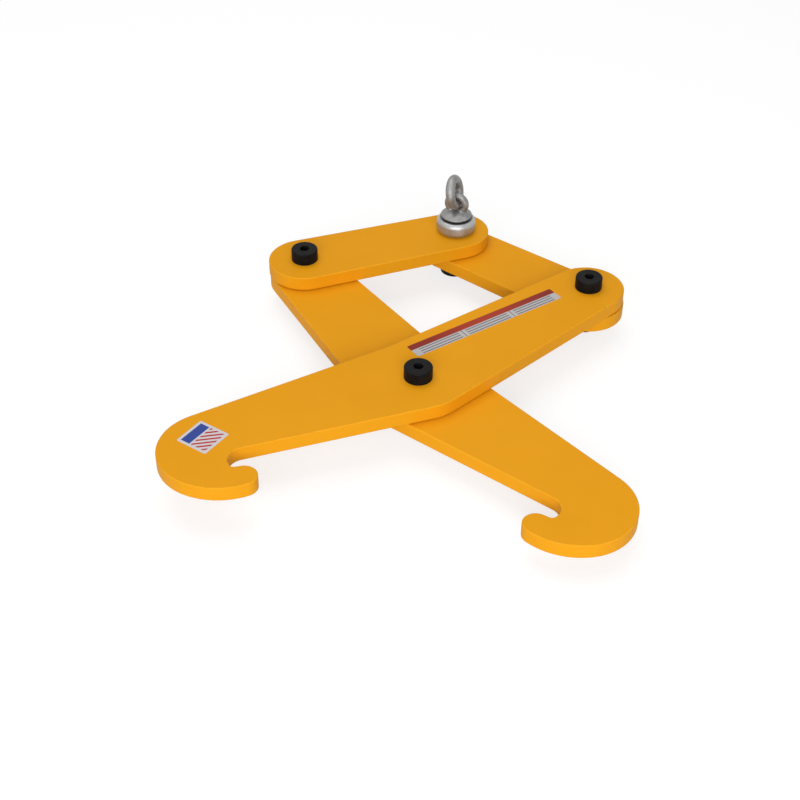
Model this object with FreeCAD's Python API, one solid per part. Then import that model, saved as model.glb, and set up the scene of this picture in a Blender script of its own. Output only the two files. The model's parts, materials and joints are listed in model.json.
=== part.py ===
import FreeCAD
import Part
import math
import os

# Lifting tongs: two hooked arms crossed at a centre pivot, two links from the arms' upper pivots to
# an apex, and a forged eye with a loose ring, turning on the apex. Millimetres and degrees. The centre
# pivot stands on the origin, +Y points to the apex, +Z is up, and the tongs lie flat on their
# fasteners' ends.

# Pivots
pivot_spread = 258.83
shoulder_rise = 156.66
apex_rise = 73.84
running_clearance = 0.06
face_clearance = 0.05
open_pivot_clearance = 5.0

# Plates
plate_thickness = 12.7
plate_gap = 0.8
plate_edge_radius = 0.8
link_end_radius = 32.7
apex_end_radius = 30.7

# Arm outline, in the arm's own frame with the centre pivot at zero and the upper pivot on its axis
arm_end_radius = 31.9
belly_radius = 41.1
waist_radius = 150.0
waist_reach = 27.6
waist_depth = 46.6
hook_reach = 179.6
hook_offset = 34.9
hook_radius = 45.3
nose_radius_share = 1.24
tip_radius = 11.1
tip_place_shares = (-0.033, -0.882)
ledge_angle = 151.6
throat_radius = 13.2
throat_place_shares = (0.227, -0.564)
throat_corner_radius = 4.0

# Shoulder screws of the centre, left and right pivots
head_radius = 12.0
head_height = 11.0
head_edge_radius = 1.3
socket_flats = 8.0
socket_depth = 5.5
shoulder_radius = 8.0
screw_thread_radius = 6.0
thread_chamfer = 1.0
end_play = 0.2

# Washers and lock nuts of those pivots
washer_radius = 13.5
washer_thickness = 2.4
washer_clearance = 0.4
thread_clearance = 0.05
nut_flats = 19.0
nut_hex_height = 10.6
nut_collar_height = 4.5
nut_collar_share = 0.46
nut_chamfer_height = 1.1
insert_wall_share = 0.7
insert_height = 3.0
foot_drop = 19.3
thrust_washer_radius = 19.0

# Apex eye, its ring, its collar and its fasteners
eye_pin_radius = 9.52
eye_thread_radius = 9.1
eye_turn = -9.6
eye_bend_radius = 8.1
eye_rod_radius = 3.5
eye_hole_rise = 0.5
ring_bend_radius = 11.92
ring_rod_share = 0.935
ring_clearance = 0.3
ring_lean = 11.85
foot_radius = 14.6
foot_rim_height = 2.0
foot_dome_height = 6.0
eye_play = 0.6
collar_radius = 18.2
collar_height = 14.7
collar_edge_radius = 5.2
apex_washer_radius = 22.2
apex_washer_thickness = 2.8
apex_nut_flats = 28.6
apex_nut_hex_height = 11.4
apex_nut_collar_height = 3.8
apex_nut_chamfer_height = 1.6

# Blank labels stuck on the upper arm
label_thickness = 0.15
label_corner_radius = 1.2
arm_label_width = 16.6
arm_label_start = 18.7
arm_label_stop = 29.5
arm_label_offset = 20.3
arm_label_angle = -6.4
hook_label_side = 29.0
hook_label_place_shares = (0.013, 0.355)
hook_label_angle = 14.7

# Every cut runs past the faces it passes through by this much
overrun = 1.0

# Two lengths closer than this are taken as the same
same_length = 0.02

up = FreeCAD.Vector(0, 0, 1)
half_turn = math.pi
full_turn_degrees = 360.0
quarter_turn_degrees = 90.0
hex_sides = 6

# Levels, from the surface that the fasteners' ends stand on
lower_bottom = foot_drop
lower_top = lower_bottom + plate_thickness
upper_bottom = lower_top + plate_gap
upper_top = upper_bottom + plate_thickness
washer_top = lower_bottom - end_play
collar_top = upper_top + collar_height
foot_bottom = collar_top + eye_play
foot_crown = foot_bottom + foot_rim_height + foot_dome_height
eye_hole_radius = eye_bend_radius - eye_rod_radius
eye_hole_bottom = foot_crown + eye_hole_rise
eye_center = eye_hole_bottom + eye_hole_radius
ring_rod_radius = eye_hole_radius * ring_rod_share
ring_bottom = eye_hole_bottom + ring_clearance + ring_rod_radius

# Pivot places in plan, and the spans and slopes between them
center_place = FreeCAD.Vector(0, 0, 0)
left_place = FreeCAD.Vector(-pivot_spread / 2, shoulder_rise, 0)
right_place = FreeCAD.Vector(pivot_spread / 2, shoulder_rise, 0)
apex_place = FreeCAD.Vector(0, shoulder_rise + apex_rise, 0)
arm_span = right_place.Length
arm_slope = math.degrees(math.atan2(shoulder_rise, pivot_spread / 2))
link_span = (apex_place - left_place).Length
link_slope = math.degrees(math.atan2(apex_rise, pivot_spread / 2))

# Hook centre, in the arm's own frame
hook_place = FreeCAD.Vector(-hook_reach, hook_offset, 0)


def heading(angle):
    return FreeCAD.Vector(math.cos(angle), math.sin(angle), 0)


def right_of(angle):
    return FreeCAD.Vector(math.sin(angle), -math.cos(angle), 0)


def bearing(vector):
    return math.atan2(vector.y, vector.x)


def straight_between(first, second):
    """Ends of the straight run that leaves one round turn and meets the next tangentially.

    A turn is its centre and its radius, which is positive where the outline turns left.
    """
    reach = second[0] - first[0]
    lean = (first[1] - second[1]) / reach.Length
    angle = bearing(reach) + math.asin(max(-1, min(1, lean)))
    side = right_of(angle)
    return first[0] + side * first[1], second[0] + side * second[1]


def arc_round(turn, start, end):
    """Edge along a turn, from the point where the outline meets it to the point where it leaves."""
    center, radius = turn
    side = math.copysign(1, radius)
    begin = bearing(start - center)
    sweep = (side * (bearing(end - center) - begin)) % (2 * half_turn)
    middle = center + heading(begin + side * sweep / 2) * abs(radius)
    return Part.Arc(start, middle, end).toShape()


def outline_face(turns):
    """Face inside a closed outline of round turns joined by tangent straights."""
    runs = []
    for index, turn in enumerate(turns):
        runs.append(straight_between(turn, turns[(index + 1) % len(turns)]))
    edges = []
    for index, turn in enumerate(turns):
        leave, meet = runs[index]
        edges.append(arc_round(turn, runs[index - 1][1], leave))
        if (meet - leave).Length > same_length:
            edges.append(Part.LineSegment(leave, meet).toShape())
        else:
            runs[index] = (leave, leave)
    return Part.Face(Part.Wire(edges))


def circles_meet(first, first_reach, second, second_reach):
    """Point at the given reaches from two centres, on the left of the way from first to second."""
    span = second - first
    along = (first_reach ** 2 - second_reach ** 2 + span.Length ** 2) / (2 * span.Length)
    across = math.sqrt(first_reach ** 2 - along ** 2)
    angle = bearing(span)
    return first + heading(angle) * along - right_of(angle) * across


def hook_turns():
    """Turns of the hook, from its outer bend round the tip and into the throat."""
    tip = hook_place + FreeCAD.Vector(*tip_place_shares, 0) * hook_radius
    throat = hook_place + FreeCAD.Vector(*throat_place_shares, 0) * hook_radius
    nose_radius = nose_radius_share * hook_radius
    nose = circles_meet(hook_place, nose_radius - hook_radius, tip, nose_radius - tip_radius)
    ledge = math.radians(ledge_angle)
    start = tip + right_of(ledge) * (tip_radius + throat_corner_radius) - throat
    along = start.dot(heading(ledge))
    reach = throat_radius - throat_corner_radius
    run = math.sqrt(along ** 2 - start.Length ** 2 + reach ** 2) - along
    corner = throat + start + heading(ledge) * run
    return [
        (hook_place, hook_radius),
        (nose, nose_radius),
        (tip, tip_radius),
        (corner, -throat_corner_radius),
        (throat, -throat_radius),
    ]


def plate(turns, holes):
    """Flat plate on the ground plane, with rounded edges and round holes at (place, radius)."""
    body = outline_face(turns).extrude(up * plate_thickness)
    rims = [edge for edge in body.Edges if edge.BoundBox.ZLength < plate_edge_radius]
    body = body.makeFillet(plate_edge_radius, rims)
    for place, radius in holes:
        depth = plate_thickness + 2 * overrun
        body = body.cut(Part.makeCylinder(radius, depth, place - up * overrun, up))
    return body


def arm():
    """One hooked arm in its own frame, its upper pivot along +X."""
    pivot = FreeCAD.Vector(arm_span, 0, 0)
    waist = FreeCAD.Vector(waist_reach, waist_depth + waist_radius, 0)
    turns = [(pivot, arm_end_radius), (waist, -waist_radius)] + hook_turns() + [(center_place, belly_radius)]
    hole = shoulder_radius + running_clearance
    return plate(turns, [(center_place, hole), (pivot, hole)])


def link(apex_hole_radius):
    """One link in its own frame, from its arm pivot along +X to the apex."""
    apex = FreeCAD.Vector(link_span, 0, 0)
    turns = [(center_place, link_end_radius), (apex, apex_end_radius)]
    hole = shoulder_radius + running_clearance
    return plate(turns, [(center_place, hole), (apex, apex_hole_radius)])


def turned(shape, degrees):
    return shape.rotated(center_place, up, degrees)


def turned_over(shape):
    """The same plate turned over about the line through the centre pivot and the apex."""
    over = shape.rotated(center_place, FreeCAD.Vector(0, 1, 0), full_turn_degrees / 2)
    return over.translated(up * plate_thickness)


def disc(radius, bottom, top, place):
    return Part.makeCylinder(radius, top - bottom, place + up * bottom, up)


def ring(radius, hole_radius, bottom, top, place):
    hole = disc(hole_radius, bottom - overrun, top + overrun, place)
    return disc(radius, bottom, top, place).cut(hole)


def hexagon(flats, bottom, top, place):
    corner = flats / 2 / math.cos(half_turn / hex_sides)
    angles = [2 * half_turn * index / hex_sides for index in range(hex_sides)]
    points = [place + up * bottom + heading(angle) * corner for angle in angles]
    return Part.Face(Part.makePolygon(points + points[:1])).extrude(up * (top - bottom))


def threaded_end(radius, top, place):
    """Threaded end of a fastener, with its chamfer on the standing surface."""
    tip = Part.makeCone(radius - thread_chamfer, radius, thread_chamfer, place, up)
    return disc(radius, thread_chamfer, top, place).fuse(tip)


def pivot_screw(place):
    head = disc(head_radius, upper_top, upper_top + head_height, place)
    rim = [edge for edge in head.Edges if edge.BoundBox.ZMin > upper_top + head_edge_radius]
    head = head.makeFillet(head_edge_radius, rim)
    head_top = upper_top + head_height
    head = head.cut(hexagon(socket_flats, head_top - socket_depth, head_top + overrun, place))
    shoulder = disc(shoulder_radius, washer_top, upper_top, place)
    return head.fuse([shoulder, threaded_end(screw_thread_radius, washer_top, place)]).removeSplitter()


def insert_radius(flats, bore):
    """Outside radius of the nylon ring, between the nut's thread and its collar."""
    return bore + (flats * nut_collar_share - bore) * insert_wall_share


def lock_nut(flats, hex_height, collar_height_here, chamfer, bore, top, place):
    """Hex nut under a washer, its lower end drawn in to a collar that holds the nylon ring."""
    hex_bottom = top - hex_height
    bottom = hex_bottom - collar_height_here
    corner = flats / 2 / math.cos(half_turn / hex_sides)
    upper_cone = Part.makeCone(corner, flats / 2, chamfer, place + up * (top - chamfer), up)
    lower_cone = Part.makeCone(flats / 2, corner, chamfer, place + up * hex_bottom, up)
    blank = disc(corner, hex_bottom + chamfer, top - chamfer, place).fuse([upper_cone, lower_cone])
    body = hexagon(flats, hex_bottom, top, place).common(blank)
    collar = disc(flats * nut_collar_share, bottom, hex_bottom, place)
    seat_radius = insert_radius(flats, bore) + thread_clearance
    seat = disc(seat_radius, hex_bottom - insert_height, hex_bottom, place)
    hole = disc(bore, bottom - overrun, top + overrun, place)
    return body.fuse(collar).removeSplitter().cut(seat).cut(hole)


def nylon_ring(flats, hex_height, bore, top, place):
    hex_bottom = top - hex_height
    bottom = hex_bottom - insert_height + face_clearance
    return ring(insert_radius(flats, bore), bore, bottom, hex_bottom - face_clearance, place)


def thrust_washer(radius, pin_radius, place):
    bottom = lower_top + face_clearance
    return ring(radius, pin_radius + running_clearance, bottom, upper_bottom - face_clearance, place)


def round_rims(body, circle_radius, fillet_radius):
    """Round the circular edges of one radius on a ring about its own axis."""
    circles = [edge for edge in body.Edges if edge.isClosed()]
    rims = [edge for edge in circles if abs(edge.Curve.Radius - circle_radius) < same_length]
    return body.makeFillet(fillet_radius, rims)


def stood_loop(bend_radius, rod_radius):
    """Closed loop of round rod facing along X, standing with its lowest rod centred on the origin."""
    loop = Part.makeTorus(bend_radius, rod_radius)
    standing = loop.rotated(center_place, FreeCAD.Vector(0, 1, 0), quarter_turn_degrees)
    return standing.translated(up * bend_radius)


def lifting_ring():
    """Loose ring through the eye's hole, leaning to one side as it was left."""
    loop = stood_loop(ring_bend_radius, ring_rod_radius)
    leaning = loop.rotated(center_place, FreeCAD.Vector(0, 1, 0), -ring_lean)
    return turned(leaning, eye_turn).translated(apex_place + up * ring_bottom)


def eye_foot():
    """Domed foot of the eye: a disc under a ball."""
    ball_radius = (foot_radius ** 2 + foot_dome_height ** 2) / (2 * foot_dome_height)
    ball = Part.makeSphere(ball_radius, apex_place + up * (foot_crown - ball_radius))
    return disc(foot_radius, foot_bottom, foot_crown + overrun, apex_place).common(ball)


def lifting_eye():
    """Eye, foot and shank in one forging: the shank is the apex pin of the links."""
    loop = turned(stood_loop(eye_bend_radius, eye_rod_radius), eye_turn + quarter_turn_degrees)
    loop = loop.translated(apex_place + up * (eye_center - eye_bend_radius))
    shank = disc(eye_pin_radius, washer_top, foot_bottom, apex_place)
    thread = threaded_end(eye_thread_radius, washer_top, apex_place)
    return eye_foot().fuse([loop, shank, thread]).removeSplitter()


def eye_collar():
    blank = disc(collar_radius, upper_top, collar_top, apex_place)
    body = round_rims(blank, collar_radius, collar_edge_radius)
    bore = eye_pin_radius + running_clearance
    return body.cut(disc(bore, upper_top - overrun, collar_top + overrun, apex_place))


def label(length, width, place, angle):
    """Blank label lying on the upper arm, placed in the arm's own frame."""
    corner = FreeCAD.Vector(-length / 2, -width / 2, 0)
    sheet = Part.makeBox(length, width, label_thickness, corner)
    posts = [edge for edge in sheet.Edges if edge.BoundBox.ZLength > label_thickness / 2]
    sheet = sheet.makeFillet(label_corner_radius, posts)
    sheet = turned(sheet, angle).translated(place)
    return turned(sheet, arm_slope).translated(up * upper_top)


def plates():
    right_arm = turned(arm(), arm_slope)
    pin_hole = eye_pin_radius + running_clearance
    left_link = turned(link(pin_hole), link_slope).translated(left_place)
    open_link = turned(link(eye_pin_radius + open_pivot_clearance), link_slope).translated(left_place)
    return {
        "upper_arm": right_arm.translated(up * upper_bottom),
        "lower_arm": turned_over(right_arm).translated(up * lower_bottom),
        "upper_link": left_link.translated(up * upper_bottom),
        "lower_link": turned_over(open_link).translated(up * lower_bottom),
    }


def pivot_fasteners(side, place):
    """Screw, washers, nut and nylon ring of one arm pivot."""
    nut_top = washer_top - washer_thickness
    bore = screw_thread_radius + thread_clearance
    hole = screw_thread_radius + washer_clearance
    nut = (nut_flats, nut_hex_height, nut_collar_height, nut_chamfer_height)
    return {
        side + "_pivot_screw": pivot_screw(place),
        side + "_thrust_washer": thrust_washer(thrust_washer_radius, shoulder_radius, place),
        side + "_flat_washer": ring(washer_radius, hole, nut_top, washer_top, place),
        side + "_lock_nut": lock_nut(*nut, bore, nut_top, place),
        side + "_nylon_ring": nylon_ring(nut_flats, nut_hex_height, bore, nut_top, place),
    }


def apex_fasteners():
    """Eye and its ring, collar, washers, nut and nylon ring of the apex."""
    nut_top = washer_top - apex_washer_thickness
    bore = eye_thread_radius + thread_clearance
    hole = eye_thread_radius + washer_clearance
    nut = (apex_nut_flats, apex_nut_hex_height, apex_nut_collar_height, apex_nut_chamfer_height)
    return {
        "lifting_eye": lifting_eye(),
        "lifting_ring": lifting_ring(),
        "eye_collar": eye_collar(),
        "apex_thrust_washer": thrust_washer(apex_washer_radius, eye_pin_radius, apex_place),
        "apex_flat_washer": ring(apex_washer_radius, hole, nut_top, washer_top, apex_place),
        "apex_lock_nut": lock_nut(*nut, bore, nut_top, apex_place),
        "apex_nylon_ring": nylon_ring(apex_nut_flats, apex_nut_hex_height, bore, nut_top, apex_place),
    }


def labels():
    """A strip between the centre and upper pivots, and a square on the hook."""
    strip_length = arm_span - arm_label_start - arm_label_stop
    strip_place = FreeCAD.Vector(arm_label_start + strip_length / 2, arm_label_offset, 0)
    square_place = hook_place + FreeCAD.Vector(*hook_label_place_shares, 0) * hook_radius
    return {
        "arm_label": label(strip_length, arm_label_width, strip_place, arm_label_angle),
        "hook_label": label(hook_label_side, hook_label_side, square_place, hook_label_angle),
    }


def tongs():
    pieces = plates()
    for side, place in (("center", center_place), ("left", left_place), ("right", right_place)):
        pieces.update(pivot_fasteners(side, place))
    pieces.update(apex_fasteners())
    pieces.update(labels())
    return pieces


os.makedirs("parts", exist_ok=True)
for name, shape in tongs().items():
    shape.exportStep("parts/" + name + ".step")
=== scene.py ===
import json
from math import pi, radians

import bpy
from mathutils import Matrix, Vector


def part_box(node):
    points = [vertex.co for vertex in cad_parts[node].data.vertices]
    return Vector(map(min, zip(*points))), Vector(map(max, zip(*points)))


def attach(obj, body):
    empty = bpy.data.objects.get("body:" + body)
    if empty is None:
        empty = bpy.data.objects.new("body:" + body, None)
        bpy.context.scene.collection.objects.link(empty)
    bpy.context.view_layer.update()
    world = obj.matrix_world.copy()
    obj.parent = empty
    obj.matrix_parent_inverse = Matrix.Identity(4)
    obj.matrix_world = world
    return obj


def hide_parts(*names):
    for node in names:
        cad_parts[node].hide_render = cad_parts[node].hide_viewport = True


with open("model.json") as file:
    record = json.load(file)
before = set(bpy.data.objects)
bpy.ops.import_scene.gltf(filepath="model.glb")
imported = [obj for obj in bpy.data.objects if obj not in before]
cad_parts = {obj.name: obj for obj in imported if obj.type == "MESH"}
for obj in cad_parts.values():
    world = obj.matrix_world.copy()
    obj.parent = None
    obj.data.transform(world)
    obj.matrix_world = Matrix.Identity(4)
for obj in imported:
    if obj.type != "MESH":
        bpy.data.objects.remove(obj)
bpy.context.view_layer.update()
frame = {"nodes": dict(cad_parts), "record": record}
nodes = frame["nodes"]

# Sizes, in metres, and angles of the pieces that are shaped or marked here.
EYE_TURN = radians(80.4)
EYE_CENTER = Vector((0, 0.2305, 0.0739))
EYE_BEND = 0.0081
EYE_ROD = 0.0035
FOOT_LEVEL = 0.0608
FOOT_RADIUS = 0.0146
FOOT_RIM = 0.002
FOOT_DOME = 0.006
FOOT_TUCK = 0.92
FOOT_STEPS = 12
SHANK_CUT = 0.0002
SHANK_ROOT = 0.0014
FORGING_VOXEL = 0.00032
NECK_LOW = 0.0632
NECK_HIGH = 0.071
NECK_RISE = 0.001
NECK_FALL = 0.002
NECK_LEAST = 0.1
FLASH_LOW = 0.0735
FLASH_HIGH = 0.0865
THREAD_TOP = 0.0045
SCREW_PITCH = 0.00175
EYE_PITCH = 0.00254
STRIP_SLOPE = radians(44.04)
STRIP_LENGTH = 0.155
STRIP_BAND_EDGE = 0.0014
STRIP_DIVIDER = 0.026
STRIP_FOOT = 0.0083
STRIP_ROW = 0.0031
STRIP_RULE_REACH = 0.071
SQUARE_SLOPE = radians(65.14)
SQUARE_SIDE = 0.029
SQUARE_MARGIN = 0.0024
SQUARE_SLANT = 0.0056

# The studio: the floor, the light that comes from everywhere, and the camera fitted to the photograph.
FLOOR_SIZE = 40
FLOOR_LEVEL = -0.0004
FLOOR_FADE_SQUARED = (0.6, 9.0)
SKY_LEVEL = 0.25
LAMP_AIM = (0, 0, 0.03)
CAMERA_PLACE = (0.133953, -0.941112, 0.779278)
CAMERA_YAW = radians(8.9879)
CAMERA_PITCH = radians(51.4111)
CAMERA_ROLL = radians(0.6684)
CAMERA_SENSOR = 36
CAMERA_LENS = 65.76


class Shade:
    """A shader socket that takes part in arithmetic."""

    def __init__(self, tree, socket=None):
        self.tree = tree
        self.socket = socket

    def node(self, kind, settings=None, inputs=None, output=0):
        made = self.tree.nodes.new(kind)
        for name, value in (settings or {}).items():
            setattr(made, name, value)
        for name, value in (inputs or {}).items():
            self.feed(made.inputs[name], value)
        return Shade(self.tree, made.outputs[output])

    def feed(self, socket, value):
        if isinstance(value, Shade):
            self.tree.links.new(value.socket, socket)
        else:
            socket.default_value = value

    def math(self, operation, *values):
        return self.node("ShaderNodeMath", {"operation": operation}, dict(enumerate(values)))

    def __add__(self, other):
        return self.math("ADD", self, other)

    __radd__ = __add__

    def __sub__(self, other):
        return self.math("SUBTRACT", self, other)

    def __rsub__(self, other):
        return self.math("SUBTRACT", other, self)

    def __mul__(self, other):
        return self.math("MULTIPLY", self, other)

    __rmul__ = __mul__

    def __truediv__(self, other):
        return self.math("DIVIDE", self, other)

    def __gt__(self, other):
        return self.math("GREATER_THAN", self, other)

    def __lt__(self, other):
        return self.math("LESS_THAN", self, other)

    def __abs__(self):
        return self.math("ABSOLUTE", self)

    def sine(self):
        return self.math("SINE", self)

    def fraction(self):
        return self.math("FRACT", self)

    def step(self, low, high):
        return self.node("ShaderNodeMapRange", {"interpolation_type": "SMOOTHSTEP"},
                         {"Value": self, "From Min": low, "From Max": high})

    def axes(self):
        return [self.node("ShaderNodeSeparateXYZ", None, {"Vector": self}, axis) for axis in "XYZ"]

    def noise(self, scale, detail=2.0, stretch=(1, 1, 1)):
        place = self.node("ShaderNodeVectorMath", {"operation": "MULTIPLY"}, {0: self, 1: stretch})
        return self.node("ShaderNodeTexNoise", None, {"Vector": place, "Scale": scale, "Detail": detail})

    def local(self, center, turn):
        return self.node("ShaderNodeMapping", {"vector_type": "TEXTURE"},
                         {"Vector": self, "Location": center, "Rotation": turn})

    def background_rays(self):
        """1 for the rays that show a background: straight, mirrored or through glass."""
        kinds = ("Is Camera Ray", "Is Glossy Ray", "Is Transmission Ray")
        straight, mirrored, through = [self.node("ShaderNodeLightPath", None, None, kind) for kind in kinds]
        return self.math("MINIMUM", straight + mirrored + through, 1)

    def mix(self, first, second):
        """The first colour where this value is 0, the second where it is 1."""
        return self.node("ShaderNodeMix", {"data_type": "RGBA"}, {0: self, 6: first, 7: second}, 2)


def colour(red, green, blue):
    return (red, green, blue, 1.0)


class Finish:
    """A material: its shader, the place and direction of the surface, and its bumps."""

    def __init__(self, name, **constants):
        self.material = bpy.data.materials.new(name)
        self.material.use_nodes = True
        tree = self.material.node_tree
        self.shader = tree.nodes["Principled BSDF"]
        self.shade = Shade(tree)
        for socket, value in constants.items():
            self.shader.inputs[socket.replace("_", " ")].default_value = value
        self.place = self.shade.node("ShaderNodeTexCoord", None, None, "Object")
        self.normal = self.shade.node("ShaderNodeTexCoord", None, None, "Normal")
        self.bumps = None

    def set(self, socket, value):
        self.shade.feed(self.shader.inputs[socket], value)

    def bump(self, height, distance):
        inputs = {"Height": height, "Distance": distance, "Strength": 1.0}
        if self.bumps:
            inputs["Normal"] = self.bumps
        self.bumps = self.shade.node("ShaderNodeBump", None, inputs)
        self.set("Normal", self.bumps)


def thread(height, pitch):
    """Waves along the height of an end that shows below its nut."""
    return (height * (2 * pi / pitch)).sine() * (height < THREAD_TOP)


def yellow_paint():
    paint = Finish("yellow_paint", Specular_IOR_Level=0.08)
    tilt = abs(paint.normal.axes()[2])
    edge = 4 * tilt * tilt * (1 - tilt * tilt)
    side = 1 - tilt.step(0.0, 0.3)
    tone = paint.place.noise(14, 3)
    grain = paint.place.noise(620, 3)
    cut = paint.place.noise(850, 2, (1, 1, 0.06))
    coat = (0.85 * tone + 0.15 * grain).step(0.25, 0.75)
    body = coat.mix(colour(0.75, 0.316, 0.006), colour(0.79, 0.336, 0.008))
    # The rounded edges are painted lighter: partly a painted highlight, partly thinner paint.
    thin_coat_and_edge_highlight = (0.3 * edge).mix(body, colour(0.86, 0.42, 0.03))
    chip = (paint.place.noise(210, 4) > 0.705) * (edge > 0.55)
    paint.set("Base Color", chip.mix(thin_coat_and_edge_highlight, colour(0.16, 0.13, 0.10)))
    paint.set("Roughness", 0.42 + 0.12 * grain + 0.06 * tone)
    paint.bump(grain, 0.000025)
    paint.bump(cut * side, 0.00008)
    return paint.material


def black_oxide():
    oxide = Finish("black_oxide", Specular_IOR_Level=0.06)
    height = oxide.place.axes()[2]
    film = oxide.place.noise(160, 4)
    grain = oxide.place.noise(1500, 2)
    black = film.step(0.3, 0.7).mix(colour(0.005, 0.0045, 0.0045), colour(0.010, 0.0092, 0.0092))
    oxide.set("Base Color", black)
    oxide.set("Roughness", 0.34 + 0.16 * film + 0.08 * grain)
    oxide.bump(thread(height, SCREW_PITCH), 0.0003)
    oxide.bump(grain, 0.00002)
    return oxide.material


def forged_steel():
    steel = Finish("forged_steel", Metallic=0.7)
    across = steel.place.local(EYE_CENTER, (0, 0, EYE_TURN)).axes()[0]
    height = steel.place.axes()[2]
    skin = steel.place.noise(240, 4)
    patch = steel.place.noise(90, 3)
    grain = steel.place.noise(1900, 2)
    tone = (0.6 * skin + 0.4 * patch).step(0.32, 0.68)
    # Painted shade: the foot's bottom edge and the shank below it are darkened, for the shade in the crease
    # between the foot and the collar.
    foot_crease_shade = 1 - height.step(FOOT_LEVEL + 0.0003, FOOT_LEVEL + 0.0017)
    skin_colour = tone.mix(colour(0.2, 0.198, 0.193), colour(0.31, 0.31, 0.305))
    steel.set("Base Color", (0.85 * foot_crease_shade).mix(skin_colour, colour(0.03, 0.028, 0.026)))
    steel.set("Roughness", 0.4 + 0.16 * skin + 0.06 * grain)
    flash = (1 - abs(across).step(0.0002, 0.0007)) * (height > FLASH_LOW) * (height < FLASH_HIGH)
    steel.bump(skin, 0.00035)
    steel.bump(flash, 0.0002)
    steel.bump(thread(height, EYE_PITCH), 0.0004)
    return steel.material


def zinc_plate():
    zinc = Finish("zinc_plate", Metallic=0.7)
    cloud = zinc.place.noise(120, 3)
    rings = zinc.place.noise(2600, 2, (0.01, 0.01, 1))
    height = zinc.place.axes()[2]
    # Painted shade: the collar's top is darkened towards the foot, for the shade under the foot's overhang.
    foot_crease_shade = height.step(FOOT_LEVEL - 0.0016, FOOT_LEVEL - 0.0008)
    plating = cloud.step(0.3, 0.7).mix(colour(0.35, 0.352, 0.355), colour(0.44, 0.443, 0.442))
    zinc.set("Base Color", (0.8 * foot_crease_shade).mix(plating, colour(0.03, 0.028, 0.026)))
    zinc.set("Roughness", 0.33 + 0.1 * cloud + 0.05 * rings)
    zinc.bump(rings, 0.00003)
    return zinc.material


def bronze():
    metal = Finish("bronze", Metallic=1.0)
    stain = metal.place.noise(130, 4)
    tint = stain.step(0.3, 0.7).mix(colour(0.22, 0.12, 0.045), colour(0.36, 0.22, 0.09))
    metal.set("Base Color", tint)
    metal.set("Roughness", 0.34 + 0.16 * stain)
    metal.bump(metal.place.noise(1800, 2), 0.00003)
    return metal.material


def nylon():
    ring = Finish("nylon", Specular_IOR_Level=0.4)
    cloud = ring.place.noise(300, 2)
    ring.set("Base Color", cloud.mix(colour(0.66, 0.64, 0.56), colour(0.76, 0.74, 0.68)))
    ring.set("Roughness", 0.42 + 0.14 * cloud)
    return ring.material


def strip_film(center):
    film = Finish("strip_film", Specular_IOR_Level=0.12)
    along, across, _ = film.place.local(center, (0, 0, STRIP_SLOPE)).axes()
    print_grain = film.place.noise(1300, 2)
    fade = abs(along).step(0.0, STRIP_LENGTH / 2)
    red = fade.mix(colour(0.38, 0.04, 0.015), colour(0.23, 0.02, 0.011))
    panel = (0.3 + 0.4 * print_grain).mix(colour(0.45, 0.43, 0.435), colour(0.53, 0.505, 0.51))
    from_divider = abs(abs(along) - STRIP_DIVIDER)
    divider = from_divider < 0.00035
    row = ((across + STRIP_FOOT) / STRIP_ROW).fraction()
    rule = (abs(row - 0.5) < 0.16) * (from_divider > 0.0035) * (abs(along) < STRIP_RULE_REACH)
    lined = (divider + rule).mix(panel, colour(0.10, 0.094, 0.10))
    film.set("Base Color", (across > STRIP_BAND_EDGE).mix(lined, red))
    film.set("Roughness", 0.3 + 0.12 * print_grain)
    return film.material


def square_film(center):
    film = Finish("square_film", Specular_IOR_Level=0.12)
    along, across, _ = film.place.local(center, (0, 0, SQUARE_SLOPE)).axes()
    print_grain = film.place.noise(1300, 2)
    pale = (0.3 + 0.4 * print_grain).mix(colour(0.56, 0.54, 0.56), colour(0.64, 0.62, 0.64))
    reach = SQUARE_SIDE / 2 - SQUARE_MARGIN
    inside = (abs(along) < reach) * (abs(across) < reach)
    slant = ((along + across) / SQUARE_SLANT).fraction()
    bars = inside * (slant < 0.45) * (across < 0.002)
    block = inside * (across > 0.0035)
    barred = bars.mix(pale, colour(0.45, 0.03, 0.03))
    film.set("Base Color", block.mix(barred, colour(0.03, 0.06, 0.28)))
    film.set("Roughness", 0.3 + 0.12 * print_grain)
    return film.material


def dress(node, material):
    piece = nodes[node]
    piece.data.materials.clear()
    piece.data.materials.append(material)


def take(piece):
    """Makes one piece the only selected and active one."""
    bpy.ops.object.select_all(action="DESELECT")
    piece.select_set(True)
    bpy.context.view_layer.objects.active = piece


def apply_all(piece):
    take(piece)
    for modifier in list(piece.modifiers):
        bpy.ops.object.modifier_apply(modifier=modifier.name)


def settle(piece):
    """Puts a piece's place, turn and scale into its mesh."""
    take(piece)
    bpy.ops.object.transform_apply(location=True, rotation=True, scale=True)


def joined(pieces):
    bpy.ops.object.select_all(action="DESELECT")
    for piece in pieces:
        piece.select_set(True)
    bpy.context.view_layer.objects.active = pieces[0]
    bpy.ops.object.join()
    return pieces[0]


def open_faces(piece, wanted):
    """Opens a piece for editing, with only the wanted faces selected."""
    take(piece)
    bpy.ops.object.mode_set(mode="EDIT")
    bpy.ops.mesh.select_mode(type="FACE")
    bpy.ops.mesh.select_all(action="DESELECT")
    bpy.ops.object.mode_set(mode="OBJECT")
    for face in piece.data.polygons:
        face.select = wanted(face)
    bpy.ops.object.mode_set(mode="EDIT")


def eye_loop():
    bpy.ops.mesh.primitive_torus_add(
        location=EYE_CENTER, rotation=(0, pi / 2, EYE_TURN), major_segments=128, minor_segments=48,
        major_radius=EYE_BEND, minor_radius=EYE_ROD)
    loop = bpy.context.object
    settle(loop)
    return loop


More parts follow.
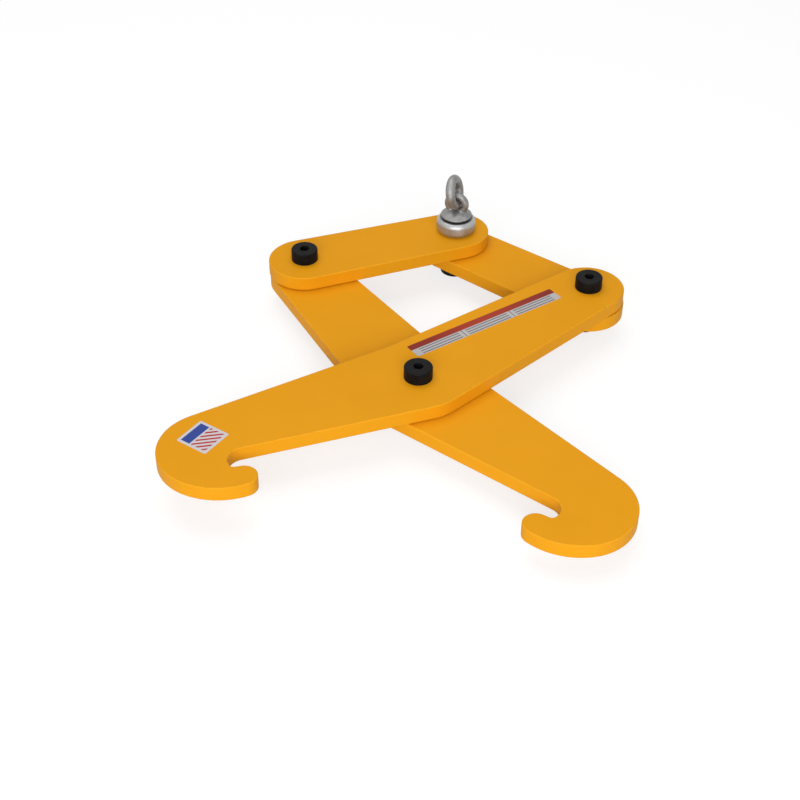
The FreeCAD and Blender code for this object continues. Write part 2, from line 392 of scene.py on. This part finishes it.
def eye_foot():
    """The round foot: a low rim, then a dome of extruded and narrowed tops."""
    axis = (EYE_CENTER.x, EYE_CENTER.y, FOOT_LEVEL)
    bpy.ops.mesh.primitive_cylinder_add(vertices=128, radius=FOOT_RADIUS, depth=FOOT_RIM, location=axis)
    foot = bpy.context.object
    foot.location.z += FOOT_RIM / 2
    settle(foot)
    open_faces(foot, lambda face: face.normal.z < -0.9)
    bpy.ops.transform.resize(value=(FOOT_TUCK, FOOT_TUCK, 1), center_override=axis)
    bpy.ops.object.mode_set(mode="OBJECT")
    reaches = [1 - step / (FOOT_STEPS + 1) for step in range(FOOT_STEPS + 1)]
    for reach, next_reach in zip(reaches, reaches[1:]):
        rise = FOOT_DOME * (reach ** 2 - next_reach ** 2)
        top = max(face.center.z for face in foot.data.polygons)
        open_faces(foot, lambda face: face.center.z > top - 1e-6 and face.normal.z > 0.9)
        bpy.ops.mesh.extrude_region_move(TRANSFORM_OT_translate={"value": (0, 0, rise)})
        narrowing = next_reach / reach
        bpy.ops.transform.resize(value=(narrowing, narrowing, 1), center_override=axis)
        bpy.ops.object.mode_set(mode="OBJECT")
    return foot


def eye_shank():
    """The plain pin and its threaded end, cut from the solid just below the foot and drawn up into it."""
    take(nodes["lifting_eye"])
    bpy.ops.object.duplicate()
    shank = bpy.context.object
    for key in list(shank.keys()):
        del shank[key]
    shank.parent = None
    bpy.ops.object.mode_set(mode="EDIT")
    bpy.ops.mesh.select_all(action="SELECT")
    bpy.ops.mesh.remove_doubles(threshold=1e-6)
    bpy.ops.mesh.select_all(action="SELECT")
    bpy.ops.mesh.bisect(
        plane_co=(0, 0, FOOT_LEVEL - SHANK_CUT), plane_no=(0, 0, 1), use_fill=True, clear_outer=True)
    bpy.ops.transform.translate(value=(0, 0, SHANK_ROOT))
    bpy.ops.mesh.select_all(action="SELECT")
    bpy.ops.mesh.normals_make_consistent(inside=False)
    bpy.ops.object.mode_set(mode="OBJECT")
    return shank


def forged_eye(steel):
    """The eye as one forging: its loop flows into the foot, and the foot into the shank."""
    head = joined([eye_loop(), eye_foot()])
    remesh = head.modifiers.new("forging", "REMESH")
    remesh.mode = "VOXEL"
    remesh.voxel_size = FORGING_VOXEL
    apply_all(head)
    neck = head.vertex_groups.new(name="neck")
    for vertex in head.data.vertices:
        level = vertex.co.z
        above = min(max((level - NECK_LOW) / NECK_RISE, NECK_LEAST), 1)
        below = min(max((NECK_HIGH - level) / NECK_FALL, NECK_LEAST), 1)
        neck.add([vertex.index], above * below, "REPLACE")
    soften = head.modifiers.new("neck", "SMOOTH")
    soften.factor = 0.5
    soften.iterations = 30
    soften.vertex_group = "neck"
    apply_all(head)
    head.vertex_groups.clear()
    shank = eye_shank()
    union = head.modifiers.new("shank", "BOOLEAN")
    union.operation = "UNION"
    union.solver = "EXACT"
    union.object = shank
    apply_all(head)
    bpy.data.objects.remove(shank)
    head.name = "forged_eye"
    take(head)
    bpy.ops.object.shade_smooth_by_angle(angle=radians(35))
    head.data.materials.clear()
    head.data.materials.append(steel)
    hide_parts("lifting_eye")
    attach(head, "eye")


def middle(node):
    low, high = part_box(node)
    return (low + high) / 2


def dress_all():
    by_slot = {"yellow_paint": yellow_paint(), "black_oxide": black_oxide(), "zinc_plate": zinc_plate(),
               "bronze": bronze(), "nylon": nylon()}
    for part in frame["record"]["subparts"]:
        if part["material_slot"] in by_slot:
            dress(part["node"], by_slot[part["material_slot"]])
    dress("arm_label", strip_film(middle("arm_label")))
    dress("hook_label", square_film(middle("hook_label")))


def floor():
    """A floor that shows a soft shadow, goes white far away, and is open to a view from below."""
    bpy.ops.mesh.primitive_plane_add(size=FLOOR_SIZE, location=(0, 0, FLOOR_LEVEL))
    ground = bpy.context.object
    ground.name = "floor"
    pale = Finish("floor", Roughness=1.0, Specular_IOR_Level=0.0, Emission_Strength=1.0)
    along, across, _ = pale.place.axes()
    far = (along * along + across * across).step(*FLOOR_FADE_SQUARED)
    seen = pale.shade.background_rays()
    white = far.mix(colour(0.75, 0.75, 0.75), colour(1, 1, 1))
    pale.set("Base Color", seen.mix(colour(0.8, 0.8, 0.8), colour(0.3, 0.3, 0.3)))
    pale.set("Emission Color", seen.mix(colour(0, 0, 0), white))
    tree = pale.material.node_tree
    under = pale.shade.node("ShaderNodeNewGeometry", None, None, "Backfacing")
    clear = pale.shade.node("ShaderNodeBsdfTransparent")
    front = Shade(tree, pale.shader.outputs[0])
    surface = pale.shade.node("ShaderNodeMixShader", None, {0: under, 1: front, 2: clear})
    tree.links.new(surface.socket, tree.nodes["Material Output"].inputs["Surface"])
    ground.data.materials.append(pale.material)


def sky(level):
    """An even light, seen itself as white."""
    world = bpy.data.worlds.new("studio")
    bpy.context.scene.world = world
    world.use_nodes = True
    shade = Shade(world.node_tree)
    seen = shade.background_rays()
    light = world.node_tree.nodes["Background"]
    light.inputs["Color"].default_value = colour(1, 1, 1)
    shade.feed(light.inputs["Strength"], level + (1 - level) * seen)


def lamp(name, place, size, power):
    bpy.ops.object.light_add(type="AREA", location=place)
    light = bpy.context.object
    light.name = name
    light.rotation_euler = (Vector(LAMP_AIM) - Vector(place)).to_track_quat("-Z", "Y").to_euler()
    light.data.shape = "RECTANGLE"
    light.data.size = size[0]
    light.data.size_y = size[1]
    light.data.energy = power


def camera():
    bpy.ops.object.camera_add(location=CAMERA_PLACE)
    eye = bpy.context.object
    turn = Matrix.Rotation(CAMERA_YAW, 3, "Z") @ Matrix.Rotation(CAMERA_PITCH, 3, "X")
    eye.rotation_euler = (turn @ Matrix.Rotation(CAMERA_ROLL, 3, "Z")).to_euler()
    eye.data.sensor_width = CAMERA_SENSOR
    eye.data.lens = CAMERA_LENS
    bpy.context.scene.camera = eye


dress_all()
steel = forged_steel()
dress("lifting_ring", steel)
forged_eye(steel)
floor()
sky(SKY_LEVEL)
lamp("front", place=(0.2, -2.0, 1.0), size=(2.4, 1.2), power=46)
lamp("top", place=(-0.3, 0.5, 2.2), size=(2.0, 2.0), power=26)
camera()
bpy.context.scene.view_settings.view_transform = "Standard"
